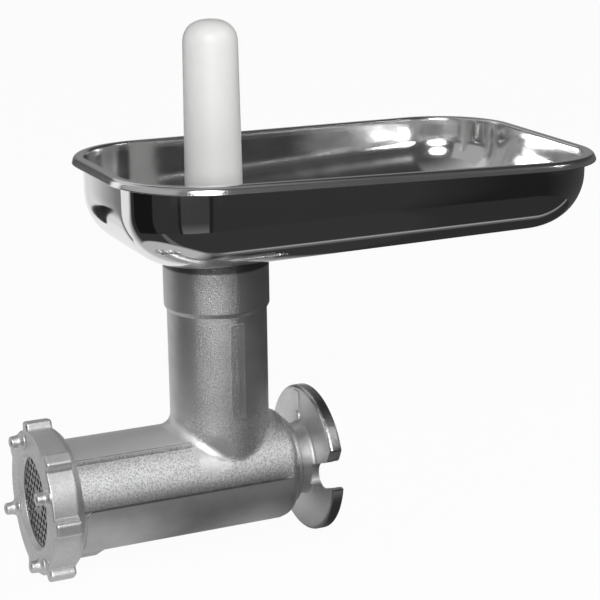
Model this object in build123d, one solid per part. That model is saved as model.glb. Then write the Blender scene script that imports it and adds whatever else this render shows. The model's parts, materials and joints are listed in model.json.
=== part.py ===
from build123d import *
from math import cos, hypot, radians, sin, tan
import os

# Mincer attachment that plugs into the hub of a kitchen machine.
# The barrel lies along X, discharge end at -X. The origin is the centre of the
# mounting face at the back of the flange. Z is up. All sizes in millimetres.

os.makedirs("parts", exist_ok=True)

# ---- housing casting ----------------------------------------------------
BARREL_R = 40.0
BARREL_MOUTH_X = -207.5
BARREL_SHOULDER_X = -189.5
BARREL_REAR_X = -26.0
BARREL_REAR_ROUND = 8.0
EDGE_BREAK = 0.8
EDGE_ROUND = 1.2
THREAD_R = 38.0
THREAD_RUNOUT = 2.5
THREAD_RUNOUT_R = 37.8
BORE_R = 32.4
BORE_END_X = -36.0
BORE_END_ROUND = 4.0
CHAMBER_R = 35.2
CHAMBER_END_X = -193.6
RIB_COUNT = 6
RIB_HEIGHT = 1.5
RIB_WIDTH = 4.4
RIB_REAR_X = -112.0

NECK_X = -73.0
NECK_R = 35.2
NECK_BORE_R = 29.2
NECK_BLEND = 9.0
NECK_TOP_Z = 164.0
NECK_FACE_Z = 50.0
COLLAR_R = 37.2
COLLAR_LOW_Z = 122.0
COLLAR_BEVEL = 4.0
COLLAR_ROUND = 2.5
SOCKET_R = 31.3
SOCKET_FLOOR_Z = 136.0
GROOVE_DEPTH = 2.4
GROOVE_LOW_Z = 148.0
GROOVE_TOP_Z = 151.2

# Marks are sunk this far into the casting that carries them.
SINK = 3.0
LEDGE_PROUD = 0.5
LEDGE_Z = 1.6
LEDGE_START_X = -187.0
LEDGE_END_X = -35.0
LEDGE_CORNER = 5.0
LEDGE_GROOVE_WIDTH = 1.1
LEDGE_GROOVE_DEPTH = 0.6
STRIP_ANGLE = 36.6
STRIP_WIDTH = 2.6
STRIP_PROUD = 0.7
STRIP_END_X = -104.0
FOOT_LOW_Z = -43.6
FOOT_END_X = -162.8
FOOT_WIDTH = 16.0
FOOT_LEAD = 9.2
PAD_LEFT = 4.4
PAD_RIGHT = 5.6
PAD_PROUD = 0.55
PAD_LOW_Z = 50.0
PAD_TOP_Z = 118.0

STEP_R = 32.0
STEP_END_X = -21.8
FLANGE_FACE_X = BARREL_REAR_X
HUB_R = 26.0
FLANGE_R = 53.6
FLANGE_T = 9.5
FLANGE_FRONT_ROUND = 2.8
FLANGE_REAR_ROUND = 1.6
HUB_FILLET = 2.0
REGISTER_R = 44.0
REGISTER_DEPTH = 3.7
NOTCH_R = 9.3
NOTCH_CENTRE = (-28.0, -6.0)
NOTCH_TILT = 20.0
# Each lip of a notch: how far out it turns away, and the radius of the turn.
NOTCH_LEFT_LIP = (20.5, 8.0)
NOTCH_RIGHT_LIP = (19.0, 7.0)
NOTCH_MOUTH_AT = 30.0
NOTCH_FLARE = 9.0
NOTCH_HUB_BITE = 3.0
STRAP_LEFT_Y = 1.6
STRAP_RIGHT_Y = 10.4
STRAP_LOW_Z = 32.0
STRAP_PROUD = 0.7
STRAP_SHORT = 4.0
DOWEL_HOLE_R = 2.55
DOWEL_HOLE_DEPTH = 5.5
DOWEL_HOLE_AT = (5.0, 30.5)
DOWEL_BOSS_R = 4.4
DOWEL_BOSS_PROUD = 1.6

# ---- plate, knife and ring nut -------------------------------------------
PLATE_R = 34.9
PLATE_FRONT_X = -209.6
PLATE_T = 7.0
PLATE_HOLE_D = 4.5
PLATE_PITCH = 6.2
PLATE_HOLE_FIELD_R = 29.0
PLATE_HUB_R = 8.0
KEY_R = 2.0
KEY_X = -205.2
KEY_LOW_Z = 32.6
KEYWAY_WIDTH = 4.8
KEYWAY_DEPTH = 2.6

STUD_R = 6.0
STUD_REAR_X = -176.0
STUD_SQUARE = 10.0
STUD_SQUARE_END_X = -202.3
PILOT_R = 4.0
PILOT_END_X = -209.0
KNIFE_FRONT_X = -202.5
KNIFE_T = 7.9
KNIFE_R = 31.0
KNIFE_HUB_R = 11.5

RING_FRONT_X = -213.6
RING_REAR_X = -190.5
RING_R = 50.3
RING_REAR_R = 45.8
RING_BORE_R = 39.1
LIP_R = 31.0
LIP_MOUTH_R = 33.8
LUG_COUNT = 7
LUG_START = -11.0
LUG_TIP_R = 56.4
LUG_HALF_WIDTH = 5.0
LUG_LENGTH = 18.5
LUG_TIP_ROUND = 2.6
LUG_END_ROUND = 2.0
GRIP_PIN_COUNT = 4
GRIP_PIN_START = -23.5
GRIP_PIN_CIRCLE_R = 43.3
GRIP_PIN_R = 4.3
GRIP_PIN_LENGTH = 9.0

# ---- worm and drive ------------------------------------------------------
WORM_R = 30.2
WORM_REAR_X = -38.1
WORM_FRONT_X = -194.4
WORM_HUB_R = 24.0
WORM_HUB_T = 5.0
WORM_TURNS = 4.2
WORM_PITCH_REAR = 40.0
WORM_PITCH_FRONT = 27.0
WORM_CORE_REAR_R = 13.5
WORM_CORE_FRONT_R = 19.5
WORM_CORE_CURVE = 1.3
FLIGHT_START = 10.5
FLIGHT_SINK = 2.5
FLIGHT_TIP_HALF = 2.0
FLIGHT_FRONT_FOOT = 4.8
FLIGHT_REAR_FOOT = 3.6
SECTIONS_PER_TURN = 12
SHANK_R = 9.93
SHANK_FRONT_X = -78.0
SHANK_END_X = -4.4
DRIVE_SLOT_WIDTH = 6.6
DRIVE_SLOT_DEPTH = 8.0
PIN_R = 2.5
PIN_X = -70.0
PIN_LENGTH = 25.0
BUSH_R = 13.0
BUSH_BORE_R = 10.0
BUSH_FRONT_X = -30.5
BUSH_END_X = -5.0
SEAL_R = 15.0
WASHER_R = 22.0

# ---- tray and pusher -----------------------------------------------------
# Plan corners about the neck's axis, each with the radius of its corner. The
# far side runs along the barrel and the near side spreads away from it.
TRAY_CORNERS = [(-87.0, -90.0, 70.0), (250.0, -137.5, 57.0), (263.0, 97.0, 61.0), (-85.0, 104.0, 62.0)]
TRAY_TOP_Z = 228.0
TRAY_BASE_Z = 166.3
TRAY_FLOOR_RISE = 0.046
TRAY_BASE_BLEND = 38.0
SHEET_T = 1.0
RIM_WIDTH = 7.8
RIM_DROP = 6.5
RIM_CREST_ROUND = 4.6
# Heights and reach of the blanks that the tray, seat and spout are cut from.
BLANK_LOW_Z = 150.0
BLANK_TOP_Z = 200.0
BLANK_LEFT = -150.0
BLANK_RIGHT = 350.0

SPOUT_R = 31.0
SPOUT_BORE_R = 29.6
SPOUT_LOW_Z = 138.0
SPOUT_TOP_Z = 169.6
SEAT_R = 36.0

PUSHER_TOP_Z = 323.5
PUSHER_LOW_Z = 44.0
PUSHER_BODY_R = 28.4
PUSHER_STOP_R = 33.5
PUSHER_STOP_T = 4.0
HANDLE_LOW_R = 20.5
HANDLE_TOP_R = 18.9
DOME_HEIGHT = 16.5
PUSHER_WALL = 3.0

# ---- colours -------------------------------------------------------------
CAST = (0.66, 0.66, 0.67)
STEEL = (0.74, 0.75, 0.77)
POLISHED = (0.85, 0.86, 0.88)
BRONZE = (0.72, 0.53, 0.28)
WHITE = (0.93, 0.93, 0.91)
RUBBER = (0.08, 0.08, 0.08)


# ---- helpers -------------------------------------------------------------
def outline(corners):
    """Closed face from (a, b) or (a, b, corner radius) corners."""
    ends = []
    count = len(corners)
    for index, corner in enumerate(corners):
        here = Vector(*corner[:2])
        if len(corner) == 2:
            ends.append((here, here, here))
            continue
        back = (Vector(*corners[index - 1][:2]) - here).normalized()
        onward = (Vector(*corners[(index + 1) % count][:2]) - here).normalized()
        half_angle = radians(back.get_angle(onward) / 2)
        setback = corner[2] / tan(half_angle)
        middle = (back + onward).normalized() * (corner[2] / sin(half_angle) - corner[2])
        ends.append((here + back * setback, here + middle, here + onward * setback))
    edges = []
    for index, (first, middle, last) in enumerate(ends):
        if (last - first).length > 1e-6:
            edges.append(ThreePointArc(first, middle, last))
        start = ends[(index + 1) % count][0]
        if (start - last).length > 1e-6:
            edges.append(Line(last, start))
    return make_face(Wire(edges))


def turned_x(corners):
    """Solid turned about the barrel's axis from (x, radius) corners."""
    return revolve(Plane.XZ * outline(corners), axis=Axis.X)


def turned_z(corners, x=NECK_X):
    """Solid turned about an upright axis from (radius, z) corners."""
    return Pos(x, 0, 0) * revolve(Plane.XZ * outline(corners), axis=Axis.Z)


def cross_section(x):
    """Sketch plane square to the barrel: local x is Y, local y is Z."""
    return Plane(origin=(x, 0, 0), x_dir=(0, 1, 0), z_dir=(1, 0, 0))


def along_x(radius, x0, x1, y=0.0, z=0.0):
    """Cylinder along X between two stations."""
    return extrude(cross_section(x0) * Pos(y, z) * Circle(radius), amount=x1 - x0)


def upright(radius, z0, z1, x=NECK_X):
    """Vertical cylinder between two heights."""
    return extrude(Plane(origin=(x, 0, z0)) * Circle(radius), amount=z1 - z0)


def across(radius, length, x):
    """Cylinder along Y, centred on the barrel's axis."""
    plane = Plane(origin=(x, 0, 0), x_dir=(1, 0, 0), z_dir=(0, -1, 0))
    return extrude(plane * Circle(radius), amount=length / 2, both=True)


def block(x0, x1, y0, y1, z0, z1):
    """Box between six limits."""
    centre = ((x0 + x1) / 2, (y0 + y1) / 2, (z0 + z1) / 2)
    return Pos(*centre) * Box(x1 - x0, y1 - y0, z1 - z0)


def clock(radius, angle):
    """(Y, Z) at an angle from the top towards the -Y side."""
    return (-radius * sin(radians(angle)), radius * cos(radians(angle)))


def save(part, name, colour):
    """Writes one named piece."""
    part.label = name
    part.color = Color(*colour)
    export_step(part, "parts/" + name + ".step")


# ---- housing casting -----------------------------------------------------
def turned_casting():
    """Barrel, stepped rear hub and recessed flange, all about one axis."""
    return turned_x(
        [
            (BARREL_MOUTH_X, 0),
            (BARREL_MOUTH_X, THREAD_R, EDGE_ROUND),
            (BARREL_SHOULDER_X - THREAD_RUNOUT, THREAD_R),
            (BARREL_SHOULDER_X - THREAD_RUNOUT, THREAD_RUNOUT_R),
            (BARREL_SHOULDER_X, THREAD_RUNOUT_R),
            (BARREL_SHOULDER_X, BARREL_R, EDGE_BREAK),
            (BARREL_REAR_X, BARREL_R, BARREL_REAR_ROUND),
            (BARREL_REAR_X, STEP_R),
            (STEP_END_X, STEP_R, EDGE_ROUND),
            (STEP_END_X, HUB_R, EDGE_BREAK),
            (-FLANGE_T, HUB_R, HUB_FILLET),
            (-FLANGE_T, FLANGE_R, FLANGE_FRONT_ROUND),
            (0, FLANGE_R, FLANGE_REAR_ROUND),
            (0, REGISTER_R),
            (-REGISTER_DEPTH, REGISTER_R),
            (-REGISTER_DEPTH, 0),
        ]
    )


def neck():
    """Collar and tube of the feed neck, down to the barrel's axis."""
    tube = upright(NECK_R, 0, NECK_TOP_Z)
    collar = turned_z(
        [
            (0, COLLAR_LOW_Z),
            (NECK_R - 0.5, COLLAR_LOW_Z),
            (COLLAR_R, COLLAR_LOW_Z + COLLAR_BEVEL, COLLAR_ROUND),
            (COLLAR_R, NECK_TOP_Z, EDGE_BREAK),
            (0, NECK_TOP_Z),
        ]
    )
    return tube, collar


def neck_seam(body):
    """Edges where the neck's tube meets the barrel."""
    curved = [e for e in body.edges() if e.geom_type not in (GeomType.CIRCLE, GeomType.LINE)]
    return [
        e for e in curved
        if 5 < e.center().Z < BARREL_R + 20 and abs(e.center().X - NECK_X) < NECK_R + 10
    ]


def lower_panel(rise):
    """Everything beside and below the barrel's axis, under a line with a rounded front corner."""
    side = outline(
        [
            (LEDGE_START_X, LEDGE_Z + rise, LEDGE_CORNER),
            (LEDGE_END_X, LEDGE_Z + rise),
            (LEDGE_END_X, -FLANGE_R),
            (LEDGE_START_X, -FLANGE_R),
        ]
    )
    return extrude(Plane.XZ * side, amount=FLANGE_R, both=True)


def ledge_groove():
    """Shallow groove that follows the upper edge of the proud lower half."""
    ring = along_x(BARREL_R + 1, LEDGE_START_X - 1, LEDGE_END_X + 1)
    ring = ring - along_x(BARREL_R - LEDGE_GROOVE_DEPTH, LEDGE_START_X - 2, LEDGE_END_X + 2)
    return ring & (lower_panel(LEDGE_GROOVE_WIDTH) - lower_panel(0))


def mould_marks():
    """Proud lower half, core strips on both upper flanks, foot pad and bare name pad."""
    marks = along_x(BARREL_R + LEDGE_PROUD, LEDGE_START_X, LEDGE_END_X) & lower_panel(0)
    half = STRIP_WIDTH / 2
    for side in (-1, 1):
        strip = block(BARREL_SHOULDER_X, STRIP_END_X, -half, half, BARREL_R - SINK, BARREL_R + STRIP_PROUD)
        marks = marks + Rot(STRIP_ANGLE * side, 0, 0) * strip
    foot = outline(
        [
            (BARREL_SHOULDER_X, FOOT_LOW_Z),
            (FOOT_END_X - FOOT_LEAD, FOOT_LOW_Z, EDGE_ROUND),
            (FOOT_END_X, EDGE_BREAK - BARREL_R),
            (FOOT_END_X, SINK - BARREL_R),
            (BARREL_SHOULDER_X, SINK - BARREL_R),
        ]
    )
    marks = marks + extrude(Plane.XZ * foot, amount=FOOT_WIDTH / 2, both=True)
    pad = block(
        NECK_X - PAD_LEFT, NECK_X + PAD_RIGHT, -NECK_R - PAD_PROUD, SINK - NECK_R, PAD_LOW_Z, PAD_TOP_Z
    )
    return marks + pad


def flange_marks():
    """Cast strap up the flange's face and the boss over the dowel hole."""
    strap = block(
        -FLANGE_T - STRAP_PROUD, SINK - FLANGE_T,
        STRAP_LEFT_Y, STRAP_RIGHT_Y,
        STRAP_LOW_Z, FLANGE_R - STRAP_SHORT,
    )
    boss = along_x(DOWEL_BOSS_R, -FLANGE_T - DOWEL_BOSS_PROUD, SINK - FLANGE_T, *DOWEL_HOLE_AT)
    rim = boss.edges().filter_by(GeomType.CIRCLE).sort_by(Axis.X)[0]
    return strap + fillet(rim, EDGE_ROUND)


def notch_cutter():
    """U slot through the flange, tilted, with a rounded flare at its mouth."""
    slot = outline(
        [
            (-NOTCH_R, -NOTCH_R, NOTCH_R),
            (NOTCH_LEFT_LIP[0], -NOTCH_R, NOTCH_LEFT_LIP[1]),
            (NOTCH_MOUTH_AT, -NOTCH_R - NOTCH_FLARE),
            (NOTCH_MOUTH_AT, NOTCH_R + NOTCH_FLARE),
            (NOTCH_RIGHT_LIP[0], NOTCH_R, NOTCH_RIGHT_LIP[1]),
            (-NOTCH_R, NOTCH_R, NOTCH_R),
        ]
    )
    start = cross_section(-FLANGE_T - NOTCH_HUB_BITE)
    placed = start * Pos(*NOTCH_CENTRE) * Rot(0, 0, 180 - NOTCH_TILT) * slot
    return extrude(placed, amount=FLANGE_T + NOTCH_HUB_BITE + 1)


def bores():
    """Everything cut from the casting about its two axes."""
    worm_bore = turned_x(
        [
            (CHAMBER_END_X - 1, 0),
            (CHAMBER_END_X - 1, BORE_R),
            (BORE_END_X, BORE_R, BORE_END_ROUND),
            (BORE_END_X, 0),
        ]
    )
    cuts = worm_bore + along_x(CHAMBER_R, BARREL_MOUTH_X - 1, CHAMBER_END_X)
    cuts = cuts + along_x(SEAL_R, BORE_END_X - 1, BUSH_FRONT_X)
    cuts = cuts + along_x(BUSH_R, BUSH_FRONT_X - 1, 1)
    cuts = cuts + upright(NECK_BORE_R, 0, NECK_TOP_Z + 1)
    cuts = cuts + upright(SOCKET_R, SOCKET_FLOOR_Z, NECK_TOP_Z + 1)
    return cuts + upright(SOCKET_R + GROOVE_DEPTH, GROOVE_LOW_Z, GROOVE_TOP_Z)


def grip_ribs():
    """Ribs along the bore that keep the food from turning with the worm."""
    ribs = []
    half = RIB_WIDTH / 2
    for index in range(RIB_COUNT):
        rib = block(CHAMBER_END_X, RIB_REAR_X, -half, half, BORE_R - RIB_HEIGHT, BORE_R + 2)
        ribs.append(Rot(30 + index * 360 / RIB_COUNT, 0, 0) * rib)
    return ribs


def casting():
    """The whole casting: barrel, feed neck and flange, bored and notched."""
    tube, collar = neck()
    body = turned_casting() + tube
    body = fillet(neck_seam(body), NECK_BLEND)
    body = body + collar + mould_marks() + flange_marks()
    body = body - bores()
    for rib in grip_ribs():
        body = body + rib
    body = body - ledge_groove()
    body = body - notch_cutter() - Rot(180, 0, 0) * notch_cutter()
    body = body - upright(KEY_R, CHAMBER_R - 4, THREAD_R + 2, x=KEY_X)
    hole_end = -REGISTER_DEPTH - DOWEL_HOLE_DEPTH
    return body - along_x(DOWEL_HOLE_R, hole_end, 1 - REGISTER_DEPTH, *DOWEL_HOLE_AT)


# The one casting is held as three nodes that meet on flat faces.
whole = casting()
reach = FLANGE_R + 10
neck_side = block(BARREL_MOUTH_X, FLANGE_FACE_X, -reach, reach, NECK_FACE_Z, NECK_TOP_Z + 1)
flange_side = block(FLANGE_FACE_X, 1, -reach, reach, -reach, reach)
save(whole - neck_side - flange_side, "housing", CAST)
save(whole & neck_side, "feed_neck", CAST)
save(whole & flange_side, "hub_flange", CAST)
save(upright(KEY_R, KEY_LOW_Z, THREAD_R - 0.3, x=KEY_X), "plate_key", STEEL)


# ---- rear bearing --------------------------------------------------------
def rear_bush():
    """Plain bearing with broken edges."""
    return turned_x(
        [
            (BUSH_FRONT_X, BUSH_BORE_R, 0.6),
            (BUSH_FRONT_X, BUSH_R, 0.6),
            (BUSH_END_X, BUSH_R, 0.6),
            (BUSH_END_X, BUSH_BORE_R, 0.6),
        ]
    )


def shaft_seal():
    """Lip seal: an L-shaped ring whose lip runs on the shank."""
    outer = SEAL_R - 0.02
    lip = SHANK_R + 0.1
    return turned_x(
        [
            (BORE_END_X + 0.4, lip),
            (BORE_END_X + 0.4, outer),
            (BUSH_FRONT_X - 0.1, outer),
            (BUSH_FRONT_X - 0.1, outer - 2.5),
            (BORE_END_X + 2.4, outer - 2.8),
            (BORE_END_X + 2.1, lip),
        ]
    )


def thrust_washer():
    """Flat ring between the worm's rear hub and the end of the bore."""
    bore = SHANK_R + 0.5
    return turned_x(
        [
            (WORM_REAR_X + 0.1, bore), (WORM_REAR_X + 0.1, WASHER_R, 0.4),
            (BORE_END_X, WASHER_R), (BORE_END_X, bore),
        ]
    )


save(rear_bush(), "rear_bush", BRONZE)
save(shaft_seal(), "shaft_seal", RUBBER)
save(thrust_washer(), "thrust_washer", BRONZE)


# ---- worm: the flight's pitch closes up and its core swells to the front -----
def worm_station(turn):
    """X of the flight's mid plane after a number of turns from the back."""
    pitch_change = (WORM_PITCH_FRONT - WORM_PITCH_REAR) / 2
    travelled = turn * (WORM_PITCH_REAR + pitch_change * turn / WORM_TURNS)
    return WORM_REAR_X - FLIGHT_START - travelled


def worm_core_r(x):
    """Core radius at a station."""
    share = (WORM_REAR_X - x) / (WORM_REAR_X - WORM_FRONT_X)
    return WORM_CORE_REAR_R + (WORM_CORE_FRONT_R - WORM_CORE_REAR_R) * share ** WORM_CORE_CURVE


def worm_core():
    """Swelling core with a wide hub at the back, bored for the shank, stud and pin."""
    first_x = WORM_REAR_X - WORM_HUB_T
    stations = [first_x + (WORM_FRONT_X - first_x) * step / 6 for step in range(7)]
    swelling = Spline(*[(x, worm_core_r(x)) for x in stations])
    ends = Polyline(
        (WORM_FRONT_X, worm_core_r(WORM_FRONT_X)), (WORM_FRONT_X, 0), (WORM_REAR_X, 0),
        (WORM_REAR_X, WORM_HUB_R), (first_x, WORM_HUB_R), (first_x, worm_core_r(first_x)),
    )
    core = revolve(Plane.XZ * make_face(Wire([swelling, *ends.edges()])), axis=Axis.X)
    core = core - along_x(SHANK_R, SHANK_FRONT_X, WORM_REAR_X + 1)
    core = core - along_x(STUD_R, WORM_FRONT_X - 1, STUD_REAR_X)
    return core - across(PIN_R, 2 * WORM_HUB_R, PIN_X)


def flight_section(turn):
    """Trapezoid of the flight in the half plane at its own angle."""
    x = worm_station(turn)
    root_r = worm_core_r(x) - FLIGHT_SINK
    radial_y, radial_z = clock(1.0, turn * 360)
    plane = Plane(origin=(x, 0, 0), x_dir=(-1, 0, 0), z_dir=(0, radial_z, -radial_y))
    section = Polyline(
        (-FLIGHT_FRONT_FOOT, root_r), (-FLIGHT_TIP_HALF, WORM_R),
        (FLIGHT_TIP_HALF, WORM_R), (FLIGHT_REAR_FOOT, root_r),
        close=True,
    )
    return plane * make_face(section)


def worm():
    sections = int(WORM_TURNS * SECTIONS_PER_TURN) + 1
    flight = loft([flight_section(index / SECTIONS_PER_TURN) for index in range(sections)])
    return worm_core() + flight


def worm_shank():
    """Drive shank with a cross slot in its end for the machine's blade."""
    shank = along_x(SHANK_R, SHANK_FRONT_X, SHANK_END_X)
    shank = chamfer(shank.edges().filter_by(GeomType.CIRCLE), 0.6)
    half = DRIVE_SLOT_WIDTH / 2
    slot = block(SHANK_END_X - DRIVE_SLOT_DEPTH, 1, -half, half, -BUSH_R, BUSH_R)
    return shank - slot - across(PIN_R, 2 * BUSH_R, PIN_X)


def knife_stud():
    """Round root, square for the knife and round pilot for the plate."""
    half = STUD_SQUARE / 2
    square = block(STUD_SQUARE_END_X, WORM_FRONT_X - 0.1, -half, half, -half, half)
    square = chamfer(square.edges().filter_by(Axis.X), 0.6)
    pilot = turned_x(
        [
            (PILOT_END_X, 0), (PILOT_END_X, PILOT_R, 0.8),
            (STUD_SQUARE_END_X, PILOT_R), (STUD_SQUARE_END_X, 0),
        ]
    )
    return along_x(STUD_R, WORM_FRONT_X - 0.1, STUD_REAR_X) + square + pilot


save(worm(), "worm", CAST)
save(worm_shank(), "worm_shank", STEEL)
save(across(PIN_R, PIN_LENGTH, PIN_X), "shank_pin", STEEL)
save(knife_stud(), "knife_stud", STEEL)


# ---- knife and plate -----------------------------------------------------
def knife():
    """Four swept arms on a hub with a square hole, relieved behind each cutting edge."""
    arm = outline(
        [
            (-6.5, 5.0), (-5.2, 16.0, 30.0), (-3.0, KNIFE_R - 1.0), (5.2, KNIFE_R - 2.6, 1.0),
            (6.6, 18.0, 30.0), (8.5, 6.0),
        ]
    )
    back_x = KNIFE_FRONT_X + KNIFE_T + 1
    relief = block(KNIFE_FRONT_X + KNIFE_T / 2, back_x, 1.5, 12, KNIFE_HUB_R + 1.5, KNIFE_R + 9)
    plan = Circle(KNIFE_HUB_R)
    for quarter in range(4):
        plan = plan + Rot(0, 0, 90 * quarter) * arm
    blade = extrude(cross_section(KNIFE_FRONT_X) * plan, amount=KNIFE_T)
    for quarter in range(4):
        blade = blade - Rot(90 * quarter, 0, 0) * relief
    half = STUD_SQUARE / 2 + 0.2
    return blade - block(KNIFE_FRONT_X - 1, back_x, -half, half, -half, half)


def hole_plate():
    """Perforated disc: a hexagonal field of small holes, a pilot hole, a keyway."""
    holes = Sketch()
    row_step = PLATE_PITCH * cos(radians(30))
    rows = int(PLATE_HOLE_FIELD_R / row_step) + 1
    columns = int(PLATE_HOLE_FIELD_R / PLATE_PITCH) + 2
    for row in range(-rows, rows + 1):
        for column in range(-columns, columns + 1):
            y = (column + 0.5 * (row % 2)) * PLATE_PITCH
            z = row * row_step
            if PLATE_HUB_R < hypot(y, z) < PLATE_HOLE_FIELD_R:
                holes = holes + Pos(y, z) * Circle(PLATE_HOLE_D / 2)
    plan = Circle(PLATE_R) - holes - Circle(PILOT_R + 0.08)
    plan = plan - Pos(0, PLATE_R) * Rectangle(KEYWAY_WIDTH, 2 * KEYWAY_DEPTH)
    plate = extrude(cross_section(PLATE_FRONT_X) * plan, amount=PLATE_T)
    round_edges = plate.edges().filter_by(GeomType.CIRCLE)
    return chamfer([e for e in round_edges if abs(e.radius - PLATE_R) < 0.01], 0.5)


save(knife(), "knife", STEEL)
save(hole_plate(), "hole_plate", STEEL)


# ---- ring nut --------------------------------------------------------------
def ring_shell():
    """Turned ring: thick lip over the plate, round rear shoulder."""
    return turned_x(
        [
            (RING_FRONT_X, LIP_MOUTH_R, 0.5),
            (RING_FRONT_X, RING_R, 1.2),
            (RING_REAR_X - 4.5, RING_R, 5.0),
            (RING_REAR_X, RING_REAR_R, 1.2),
            (RING_REAR_X, RING_BORE_R, 0.8),
            (PLATE_FRONT_X, RING_BORE_R),
            (PLATE_FRONT_X, LIP_R, 0.5),
        ]
    )


def lug():
    """One grip bar at the top of the rim, faired into it by hollow flanks."""
    root = LUG_HALF_WIDTH + 1.0
    profile = outline(
        [
            (-root - 5.5, RING_R - 2.2),
            (-root, RING_R - 0.5, 4.5),
            (-LUG_HALF_WIDTH, LUG_TIP_R, LUG_TIP_ROUND),
            (LUG_HALF_WIDTH, LUG_TIP_R, LUG_TIP_ROUND),
            (root, RING_R - 0.5, 4.5),
            (root + 5.5, RING_R - 2.2),
            (0, RING_R - 6.0),
        ]
    )
    bar = extrude(cross_section(RING_FRONT_X) * profile, amount=LUG_LENGTH)
    ends = [e for e in bar.edges() if abs(e.tangent_at(0.5).X) < 0.01 and e.center().Z > RING_R + 1]
    return fillet(ends, LUG_END_ROUND)


def grip_pin():
    """Stub on the ring's face with a rounded end and a conical root."""
    profile = [
        (1.0, 0), (1.0, 7.2), (-0.4, 6.9), (-3.0, GRIP_PIN_R + 0.2, 4.0),
        (-GRIP_PIN_LENGTH, GRIP_PIN_R - 0.2, 1.8), (-GRIP_PIN_LENGTH, 0),
    ]
    return turned_x(profile)


def ring_nut():
    nut = ring_shell()
    bar = lug()
    for index in range(LUG_COUNT):
        nut = nut + Rot(LUG_START + index * 360 / LUG_COUNT, 0, 0) * bar
    pin = grip_pin()
    for index in range(GRIP_PIN_COUNT):
        y, z = clock(GRIP_PIN_CIRCLE_R, GRIP_PIN_START + index * 360 / GRIP_PIN_COUNT)
        nut = nut + Pos(RING_FRONT_X, y, z) * pin
    return nut


save(ring_nut(), "ring_nut", CAST)


# ---- tray --------------------------------------------------------------------
def tray_slab(inset, z0, z1):
    """Slab of the tray's plan, drawn in all round, between two heights."""
    plan = offset(outline(TRAY_CORNERS), amount=-inset)
    return extrude(Pos(NECK_X, 0, z0) * plan, amount=z1 - z0)


def below_floor(lift):
    """Everything below the sloping floor, lifted by a little."""
    low = TRAY_BASE_Z + BLANK_LEFT * TRAY_FLOOR_RISE + lift
    high = TRAY_BASE_Z + BLANK_RIGHT * TRAY_FLOOR_RISE + lift
    side = outline([(BLANK_LEFT, 0), (BLANK_RIGHT, 0), (BLANK_RIGHT, high), (BLANK_LEFT, low)])
    return Pos(NECK_X, 0, 0) * extrude(Plane.XZ * side, amount=BLANK_RIGHT, both=True)


def tray_tub(inset, top_z, lift, blend):
    """Solid tub of the tray's form, rounded all along the foot of its wall."""
    tub = tray_slab(inset, BLANK_LOW_Z, top_z) - below_floor(lift)
    foot = [e for e in tub.edges() if e.center().Z < BLANK_TOP_Z and abs(e.tangent_at(0.5).Z) < 0.3]
    return fillet(foot, blend)


def tray():
    inside = RIM_WIDTH + SHEET_T
    pan = tray_tub(RIM_WIDTH, TRAY_TOP_Z - SHEET_T, 0, TRAY_BASE_BLEND)
    pan = pan - tray_tub(inside, TRAY_TOP_Z + 5, SHEET_T, TRAY_BASE_BLEND - SHEET_T)
    # Rolled rim: out over the wall, then down outside it.
    rim = tray_slab(0, TRAY_TOP_Z - RIM_DROP, TRAY_TOP_Z)
    rim = fillet(rim.edges().group_by(Axis.Z)[-1], RIM_CREST_ROUND)
    hollow = tray_slab(SHEET_T, TRAY_TOP_Z - RIM_DROP - 1, TRAY_TOP_Z - SHEET_T)
    hollow = fillet(hollow.edges().group_by(Axis.Z)[-1], RIM_CREST_ROUND - SHEET_T)
    hollow = hollow - tray_slab(RIM_WIDTH, TRAY_TOP_Z - RIM_DROP - 2, TRAY_TOP_Z)
    rim = rim - hollow - tray_slab(inside, TRAY_TOP_Z - RIM_DROP - 1, TRAY_TOP_Z + 1)
    return pan + rim - upright(SPOUT_R, BLANK_LOW_Z, BLANK_TOP_Z)


def tray_seat():
    """Ring between the neck's level mouth and the sloping floor."""
    ring = upright(SEAT_R, NECK_TOP_Z, BLANK_TOP_Z) - upright(SPOUT_R, BLANK_LOW_Z, BLANK_TOP_Z)
    return ring & below_floor(0)


save(tray(), "tray", POLISHED)
save(tray_seat(), "tray_seat", POLISHED)
spout = upright(SPOUT_R, SPOUT_LOW_Z, SPOUT_TOP_Z)
save(spout - upright(SPOUT_BORE_R, 0, BLANK_TOP_Z), "tray_spout", POLISHED)

spout_seal = upright(SOCKET_R + GROOVE_DEPTH - 0.02, GROOVE_LOW_Z + 0.1, GROOVE_TOP_Z - 0.1)
save(spout_seal - upright(SPOUT_R + 0.05, 0, BLANK_TOP_Z), "spout_seal", RUBBER)


# ---- pusher --------------------------------------------------------------------
def pusher_form(shrink, low_z):
    """Turned body and domed handle, drawn in all round by the same amount."""
    crown = PUSHER_TOP_Z - shrink
    shoulder = PUSHER_TOP_Z - DOME_HEIGHT
    top_r = HANDLE_TOP_R - shrink
    low_r = HANDLE_LOW_R - shrink
    body_r = PUSHER_BODY_R - shrink
    ceiling = SPOUT_TOP_Z - shrink
    side = Line((low_r, ceiling), (top_r, shoulder))
    dome = Spline(
        (top_r, shoulder), (top_r * 0.78, crown - 4.9), (top_r * 0.42, crown - 0.9), (0, crown),
        tangents=((-0.02, 1), (-1, 0)),
    )
    rest = Polyline((0, crown), (0, low_z), (body_r, low_z), (body_r, ceiling), (low_r, ceiling))
    return Pos(NECK_X, 0, 0) * revolve(Plane.XZ * make_face(Wire([side, dome, *rest.edges()])), axis=Axis.Z)


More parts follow.
